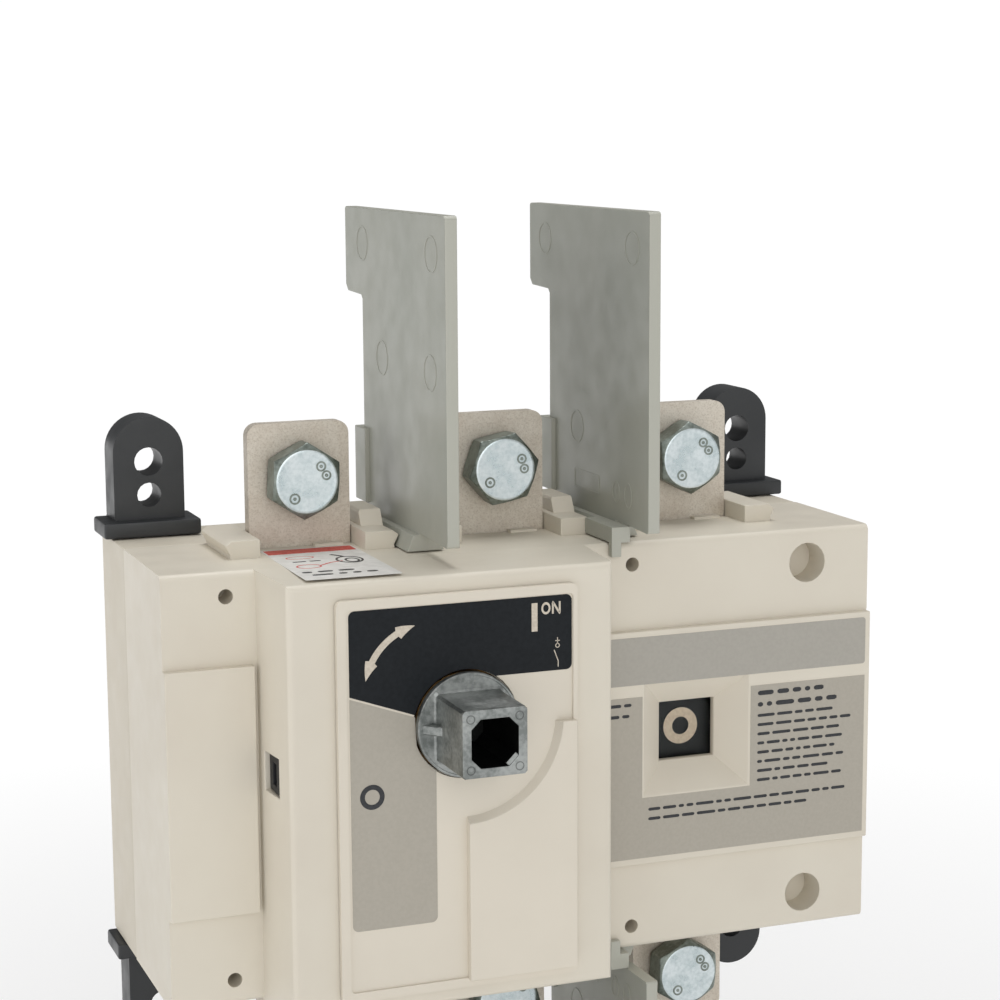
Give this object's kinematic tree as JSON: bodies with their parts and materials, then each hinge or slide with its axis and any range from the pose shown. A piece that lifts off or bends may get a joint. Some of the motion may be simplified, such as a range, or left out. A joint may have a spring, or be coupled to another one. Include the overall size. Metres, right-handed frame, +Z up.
{
  "type": "rotary disconnect switch",
  "caption": "Moulded-case rotary disconnect with a square shaft socket, position window, bolted line and load terminals, phase barriers and mounting feet.",
  "frame": {"origin": "middle of the rear face, which lies on the panel", "axes": "+X to the right seen from the front, +Y back into the panel, +Z up"},
  "size_m": [0.184, 0.103, 0.2606],
  "materials": {
    "ivory_moulding": "fine satin moulding, warm ivory",
    "ivory_tray": "fine satin moulding, slightly darker ivory",
    "barrier_moulding": "satin moulding, grey-green",
    "black_nylon": "glass-filled nylon, slightly rough",
    "black_moulding": "satin moulding",
    "indicator_black": "satin, with a beige ring and a light bar",
    "clear_pane": "clear moulded pane",
    "zinc_casting": "zinc die casting, dull",
    "zinc_plated_plate": "zinc plated sheet",
    "zinc_plated_fastener": "zinc plated, bluish",
    "tinned_copper": "tin plated copper, matt, with a fine warm grain",
    "contact_copper": "silvered copper, rubbed",
    "spring_steel": "bright spring steel",
    "bronze": "sintered bronze"
  },
  "bodies": {
    "housing": {"front_housing": "ivory_moulding", "rear_housing": "ivory_tray", "facia_plate": "ivory_moulding", "side_port_plug": "black_moulding", "indicator_window": "clear_pane", "shaft_bush": "bronze", "mechanism_plate": "zinc_plated_plate", "spring_anchor_pin": "spring_steel", "mechanism_screw_1": "zinc_plated_fastener", "mechanism_screw_2": "zinc_plated_fastener", "mechanism_screw_3": "zinc_plated_fastener", "mechanism_screw_4": "zinc_plated_fastener", "housing_screw_1": "zinc_plated_fastener", "housing_screw_2": "zinc_plated_fastener", "housing_screw_3": "zinc_plated_fastener", "housing_screw_4": "zinc_plated_fastener", "terminal_top_1": "tinned_copper", "terminal_bolt_top_1": "zinc_plated_fastener", "terminal_nut_top_1": "zinc_plated_fastener", "terminal_top_2": "tinned_copper", "terminal_bolt_top_2": "zinc_plated_fastener", "terminal_nut_top_2": "zinc_plated_fastener", "terminal_top_3": "tinned_copper", "terminal_bolt_top_3": "zinc_plated_fastener", "terminal_nut_top_3": "zinc_plated_fastener", "mounting_foot_top_left": "black_nylon", "mounting_foot_top_right": "black_nylon", "terminal_bottom_1": "tinned_copper", "terminal_bolt_bottom_1": "zinc_plated_fastener", "terminal_nut_bottom_1": "zinc_plated_fastener", "terminal_bottom_2": "tinned_copper", "terminal_bolt_bottom_2": "zinc_plated_fastener", "terminal_nut_bottom_2": "zinc_plated_fastener", "terminal_bottom_3": "tinned_copper", "terminal_bolt_bottom_3": "zinc_plated_fastener", "terminal_nut_bottom_3": "zinc_plated_fastener", "mounting_foot_bottom_left": "black_nylon", "mounting_foot_bottom_right": "black_nylon"},
    "shaft": {"operating_shaft": "zinc_casting", "drive_crank": "zinc_plated_plate", "drive_pin": "spring_steel", "spring_pin": "spring_steel", "shaft_circlip": "spring_steel"},
    "carriage": {"contact_carriage": "black_moulding", "indicator_flag": "indicator_black", "moving_blade_front_1": "contact_copper", "moving_blade_rear_1": "contact_copper", "moving_blade_front_2": "contact_copper", "moving_blade_rear_2": "contact_copper", "moving_blade_front_3": "contact_copper", "moving_blade_rear_3": "contact_copper", "contact_spring_1": "spring_steel", "contact_spring_2": "spring_steel", "contact_spring_3": "spring_steel"},
    "spring_rocker": {"spring_link": "zinc_plated_plate", "snap_spring": "spring_steel"},
    "phase_barrier_top_left": {"phase_barrier_top_left": "barrier_moulding"},
    "phase_barrier_top_right": {"phase_barrier_top_right": "barrier_moulding"},
    "phase_barrier_bottom_left": {"phase_barrier_bottom_left": "barrier_moulding"},
    "phase_barrier_bottom_right": {"phase_barrier_bottom_right": "barrier_moulding"}
  },
  "joints": [
    {"name": "carriage_slide", "type": "slide", "parent": "housing", "child": "carriage", "axis": [1, 0, 0], "range_m": [-0.016, 0]},
    {"name": "shaft_turn", "type": "hinge", "parent": "housing", "child": "shaft", "pos_m": [-0.025, -0.09, 0.016], "axis": [0, 1, 0], "range_deg": [0, 90]},
    {"name": "spring_link_swing", "type": "hinge", "parent": "housing", "child": "spring_rocker", "pos_m": [-0.025, -0.07, 0.042], "axis": [0, 1, 0], "range_deg": [-36.2, 0]},
    {"name": "barrier_top_left_slide", "type": "slide", "parent": "housing", "child": "phase_barrier_top_left", "axis": [0, -1, 0], "range_m": [0, 0.035]},
    {"name": "barrier_top_right_slide", "type": "slide", "parent": "housing", "child": "phase_barrier_top_right", "axis": [0, -1, 0], "range_m": [0, 0.035]},
    {"name": "barrier_bottom_left_slide", "type": "slide", "parent": "housing", "child": "phase_barrier_bottom_left", "axis": [0, -1, 0], "range_m": [0, 0.035]},
    {"name": "barrier_bottom_right_slide", "type": "slide", "parent": "housing", "child": "phase_barrier_bottom_right", "axis": [0, -1, 0], "range_m": [0, 0.035]}
  ],
  "couplings": [
    {"joint": "shaft_turn", "follows": "carriage_slide", "rad_per_m": -98.15},
    {"joint": "spring_link_swing", "follows": "carriage_slide", "rad_per_m": 39.15}
  ]
}
